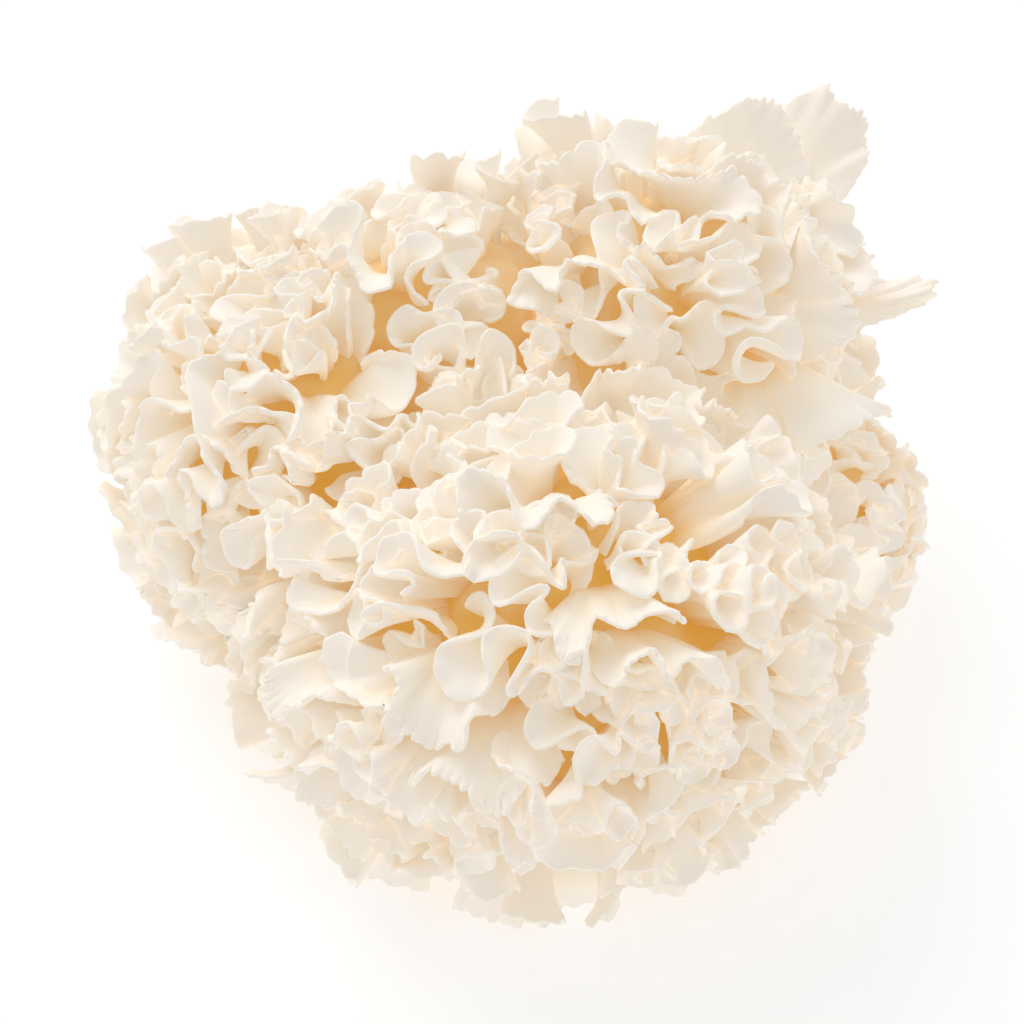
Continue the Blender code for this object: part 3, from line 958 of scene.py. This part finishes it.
# The layers and the number of columns that the meshes keep, and the most sheets in one mesh.
SHOWN_LAYERS = [2, 5, 7, 9, 11, 12, 13, 14, 15]
COLUMNS = 96
MOST_SHEETS = 54

# Passes of smoothing where points are 1 mm apart, and at most, and for tips.
SMOOTHING = 6
MOST_SMOOTHING = 50
TIP_SMOOTHING = 4


def smoothing_passes(sheet):
    """How often a sheet is smoothed: more where its points lie closer together."""
    if sheet.taper:
        return TIP_SMOOTHING
    return min(MOST_SMOOTHING, round(SMOOTHING * (POINTS / sheet.length) ** 2))


def ruffled_rows(sheets):
    """The plan of all sheets and their rows of points, from root to margin, in mm."""
    plan = planned_sheets(sheets.seed)
    coarse = trimmed(plan, grown_rows(plan, *FIRST_GROWTH))
    plan = plan + filling_sheets(coarse)
    rows = trimmed(plan, grown_rows(plan, POINTS, LAYERS, PASSES))
    for sheet, own in zip(plan, rows):
        own[:] = smoothed(own, smoothing_passes(sheet))
    return plan, rows


class MUSHROOM_OT_ruffled_sheets(bpy.types.Operator):
    """Grow the ruffled sheets of every head"""

    bl_idname = "mushroom.ruffled_sheets"
    bl_label = "Ruffled sheets"
    bl_options = {"REGISTER", "UNDO"}

    def execute(self, context):
        sheets = context.scene.mushroom_sheets
        plan, rows = ruffled_rows(sheets)
        grown = np.linspace(0, 1, LAYERS)[SHOWN_LAYERS]
        rows = resampled(rows[:, SHOWN_LAYERS], COLUMNS)
        rows = curled(plan, rows, grown, sheets.curl / MM, sheets.frill / MM, sheets.tooth / MM)
        skins = skin_round(rows, sheets.root_thickness / MM / 2, sheets.rim_thickness / MM / 2)
        kept = np.concatenate([grown, np.ones(len(LIP_ANGLES)), grown[::-1]])
        heads = np.array([sheet.head for sheet in plan])
        for number, head in enumerate(HEADS):
            own = np.nonzero(heads == number)[0]
            parts = math.ceil(len(own) / MOST_SHEETS)
            for part, chosen in enumerate(np.array_split(own, parts)):
                mesh = grid_mesh(f"{head.name}_ruffles_{part + 1}", skins[chosen], kept)
                add_piece(mesh, [flesh_of("sheet_flesh")])
        return {"FINISHED"}


# The lumps that are fused into the inner flesh, in mm: the cut base, the foot that a stalk joins
# to each head, and the saddle between the back heads.
BASE_MIDDLE = (2.0, 8.0, 10.0)
BASE_RADIUS = 25.0
BASE_NARROWING = 0.9
BASE_DEPTH = 26
BASE_SIDES = 48
FOOT = (2.0, 8.0, 12.0)
STALK_RADIUS = 12.0
STALK_STEPS = 7
SADDLE_MIDDLE = (3, 45, 30)
SADDLE_SIZE = (14, 14, 16)
LUMP_SUBDIVISIONS = 4
VOXEL = 1.3

# Creases in the inner flesh: their size and depth in mm, how much finer and weaker the second
# set is, and the growth that their colour stands for at no height, and what height adds. A low
# growth paints the cores, and most of all the bottoms of their creases, in amber painted shade.
CREASE_SIZE = 11
CREASE_DEPTH = 2.2
FINER, WEAKER = 2.1, 0.5
CREASE_SHADE_GROWTH = (0.22, 0.16)


def lump(shape, middle, size):
    """Adds one ellipsoid to a shape, in mm of the drawing."""
    place = Matrix.Translation((Vector(middle) + Vector(DRAWN_ORIGIN)) * MM)
    grow = Matrix.Diagonal((*(Vector(size) * MM), 1))
    bmesh.ops.create_icosphere(
        shape, subdivisions=LUMP_SUBDIVISIONS, radius=1, matrix=place @ grow
    )


def joined_lumps():
    """The cores, the stalks and the foot as one closed mesh."""
    shape = bmesh.new()
    for head in HEADS:
        middle = Vector(head.middle)
        lump(shape, middle, Vector(head.size) * CORE_SHARE)
        for step in range(1, STALK_STEPS):
            lump(shape, Vector(FOOT).lerp(middle, step / STALK_STEPS), (STALK_RADIUS,) * 3)
    lump(shape, SADDLE_MIDDLE, SADDLE_SIZE)
    place = Matrix.Translation((Vector(BASE_MIDDLE) + Vector(DRAWN_ORIGIN)) * MM)
    bmesh.ops.create_cone(
        shape,
        cap_ends=True,
        segments=BASE_SIDES,
        radius1=BASE_RADIUS * MM,
        radius2=BASE_RADIUS * BASE_NARROWING * MM,
        depth=BASE_DEPTH * MM,
        matrix=place,
    )
    mesh = bpy.data.meshes.new("lumps")
    shape.to_mesh(mesh)
    shape.free()
    return mesh


def fused(mesh, voxel):
    """A mesh whose overlapping lumps are fused into one skin."""
    holder = bpy.data.objects.new("lumps", mesh)
    bpy.context.scene.collection.objects.link(holder)
    remesh = holder.modifiers.new("fuse", "REMESH")
    remesh.mode = "VOXEL"
    remesh.voxel_size = voxel
    graph = bpy.context.evaluated_depsgraph_get()
    result = bpy.data.meshes.new_from_object(holder.evaluated_get(graph))
    bpy.data.objects.remove(holder)
    return result


def creased(mesh, size, depth):
    """Pushes the skin into soft ridges and creases, and returns how high each point stands."""
    places = np.empty(len(mesh.vertices) * 3)
    facing = np.empty(len(mesh.vertices) * 3)
    mesh.vertices.foreach_get("co", places)
    mesh.vertices.foreach_get("normal", facing)
    places, facing = places.reshape(-1, 3), facing.reshape(-1, 3)
    broad = np.array([noise.noise(place) for place in places / size])
    narrow = np.array([noise.noise(place) for place in places / size * FINER])
    heights = 1 - 2 * abs(broad) - WEAKER * abs(narrow)
    places += facing * (depth * heights)[:, None]
    mesh.vertices.foreach_set("co", places.ravel())
    mesh.update()
    return heights


def cut_flat(mesh):
    """Cuts the mesh off at the ground and closes the cut with faces of the second material."""
    shape = bmesh.new()
    shape.from_mesh(mesh)
    parts = shape.verts[:] + shape.edges[:] + shape.faces[:]
    bmesh.ops.bisect_plane(
        shape, geom=parts, plane_co=(0, 0, 0), plane_no=(0, 0, 1), clear_inner=True
    )
    rim = [edge for edge in shape.edges if edge.is_boundary]
    made = bmesh.ops.holes_fill(shape, edges=rim, sides=0)["faces"]
    for face in bmesh.ops.triangulate(shape, faces=made)["faces"]:
        face.material_index = 1
    for face in shape.faces:
        face.smooth = face.material_index == 0
    shape.to_mesh(mesh)
    shape.free()


class MUSHROOM_OT_inner_flesh(bpy.types.Operator):
    """Form the cores, stalks and cut base that bear the sheets"""

    bl_idname = "mushroom.inner_flesh"
    bl_label = "Inner flesh and cut base"
    bl_options = {"REGISTER", "UNDO"}

    def execute(self, context):
        mesh = fused(joined_lumps(), VOXEL * MM)
        mesh.name = "inner_flesh"
        heights = creased(mesh, CREASE_SIZE * MM, CREASE_DEPTH * MM)
        # Painted shade: lower points in the creases get a lower growth, so a more amber tone.
        keep_growth(mesh, CREASE_SHADE_GROWTH[0] + CREASE_SHADE_GROWTH[1] * heights)
        cut_flat(mesh)
        add_piece(mesh, [flesh_of("sheet_flesh"), flesh_of("cut_flesh")])
        return {"FINISHED"}


# What the camera looks at in mm, the floor's size in metres and its roughness, how wide the key
# light is and how it is turned, how the even light differs from front to back, and how often
# light bounces among the folds.
AIM = (-1.8, -5.1, 37.0)
CLIP_START = 0.01
FLOOR_SIZE = 4.0
FLOOR_ROUGHNESS = 0.9
KEY_ANGLE = 0.6
KEY_TURN = (math.radians(-35), math.radians(-30), 0.0)
SKY_FRONT, SKY_BACK = 0.8, 1.2
FOLD_BOUNCES = 3


def plain_floor(stage):
    """A wide plain floor."""
    mesh = bpy.data.meshes.new("floor")
    half = FLOOR_SIZE / 2
    corners = [(-half, -half, 0), (half, -half, 0), (half, half, 0), (-half, half, 0)]
    mesh.from_pydata(corners, [], [(0, 1, 2, 3)])
    material = bpy.data.materials.new("plain_floor")
    material.use_nodes = True
    material.cycles.emission_sampling = "NONE"
    shader = material.node_tree.nodes["Principled BSDF"]
    shader.inputs["Base Color"].default_value = (*stage.floor, 1)
    shader.inputs["Roughness"].default_value = FLOOR_ROUGHNESS
    shader.inputs["Emission Color"].default_value = (1, 1, 1, 1)
    shader.inputs["Emission Strength"].default_value = stage.floor_glow
    mesh.materials.append(material)
    floor = bpy.data.objects.new("floor", mesh)
    bpy.context.scene.collection.objects.link(floor)


def soft_light(stage):
    """Even light all round, and one soft light from the upper left."""
    scene = bpy.context.scene
    world = bpy.data.worlds.new("studio")
    world.use_nodes = True
    tree = world.node_tree
    sky = tree.nodes["Background"]
    sky.inputs["Color"].default_value = (1, 1, 1, 1)
    way = tree.nodes.new("ShaderNodeTexCoord")
    axes = tree.nodes.new("ShaderNodeSeparateXYZ")
    limits = (stage.sky * SKY_FRONT, stage.sky * SKY_BACK)
    strength = range_node(tree, axes.outputs["Y"], -1, 1, *limits)
    tree.links.new(way.outputs["Generated"], axes.inputs["Vector"])
    tree.links.new(strength, sky.inputs["Strength"])
    scene.world = world
    lamp = bpy.data.lights.new("key", "SUN")
    lamp.energy = stage.key
    lamp.angle = KEY_ANGLE
    scene.cycles.diffuse_bounces = FOLD_BOUNCES
    scene.cycles.debug_use_spatial_splits = True
    key = bpy.data.objects.new("key", lamp)
    key.rotation_euler = KEY_TURN
    scene.collection.objects.link(key)


def photo_camera(stage):
    """The camera at the photograph's viewing angle."""
    scene = bpy.context.scene
    lens = bpy.data.cameras.new("camera")
    lens.lens = stage.lens
    lens.clip_start = CLIP_START
    camera = bpy.data.objects.new("camera", lens)
    back = Vector((0, -math.cos(stage.elevation), math.sin(stage.elevation)))
    camera.location = Vector(AIM) * MM + back * stage.distance
    camera.rotation_mode = "QUATERNION"
    camera.rotation_quaternion = (-back).to_track_quat("-Z", "Y")
    scene.collection.objects.link(camera)
    scene.camera = camera


class MUSHROOM_OT_stage(bpy.types.Operator):
    """Set the plain floor, the soft light and the camera"""

    bl_idname = "mushroom.stage"
    bl_label = "Floor, light and camera"
    bl_options = {"REGISTER", "UNDO"}

    def execute(self, context):
        stage = context.scene.mushroom_stage
        plain_floor(stage)
        soft_light(stage)
        photo_camera(stage)
        context.scene.view_settings.view_transform = "Standard"
        return {"FINISHED"}


class MUSHROOM_PT_panel(bpy.types.Panel):
    """Settings and steps of the ruffled mushroom"""

    bl_label = "Ruffled mushroom"
    bl_idname = "MUSHROOM_PT_panel"
    bl_space_type = "VIEW_3D"
    bl_region_type = "UI"
    bl_category = "Mushroom"

    def draw(self, context):
        for settings, operator in PANEL_ROWS:
            box = self.layout.box()
            group = getattr(context.scene, settings)
            for name in group.__annotations__:
                box.prop(group, name)
            box.operator(operator.bl_idname)


SETTINGS = (
    ("mushroom_sheets", MushroomSheets),
    ("mushroom_flesh", MushroomFlesh),
    ("mushroom_stage", MushroomStage),
)
PANEL_ROWS = (
    ("mushroom_sheets", MUSHROOM_OT_ruffled_sheets),
    ("mushroom_flesh", MUSHROOM_OT_inner_flesh),
    ("mushroom_stage", MUSHROOM_OT_stage),
)
OPERATORS = (MUSHROOM_OT_inner_flesh, MUSHROOM_OT_ruffled_sheets, MUSHROOM_OT_stage)


def register():
    """Adds the settings, operators and panel."""
    for name, group in SETTINGS:
        bpy.utils.register_class(group)
        setattr(bpy.types.Scene, name, PointerProperty(type=group))
    for operator in OPERATORS:
        bpy.utils.register_class(operator)
    bpy.utils.register_class(MUSHROOM_PT_panel)


def unregister():
    """Takes them away again."""
    bpy.utils.unregister_class(MUSHROOM_PT_panel)
    for operator in reversed(OPERATORS):
        bpy.utils.unregister_class(operator)
    for name, group in reversed(SETTINGS):
        delattr(bpy.types.Scene, name)
        bpy.utils.unregister_class(group)


def main():
    """Makes every piece and the stage."""
    register()
    bpy.ops.mushroom.inner_flesh()
    bpy.ops.mushroom.ruffled_sheets()
    bpy.ops.mushroom.stage()


if __name__ == "__main__":
    main()
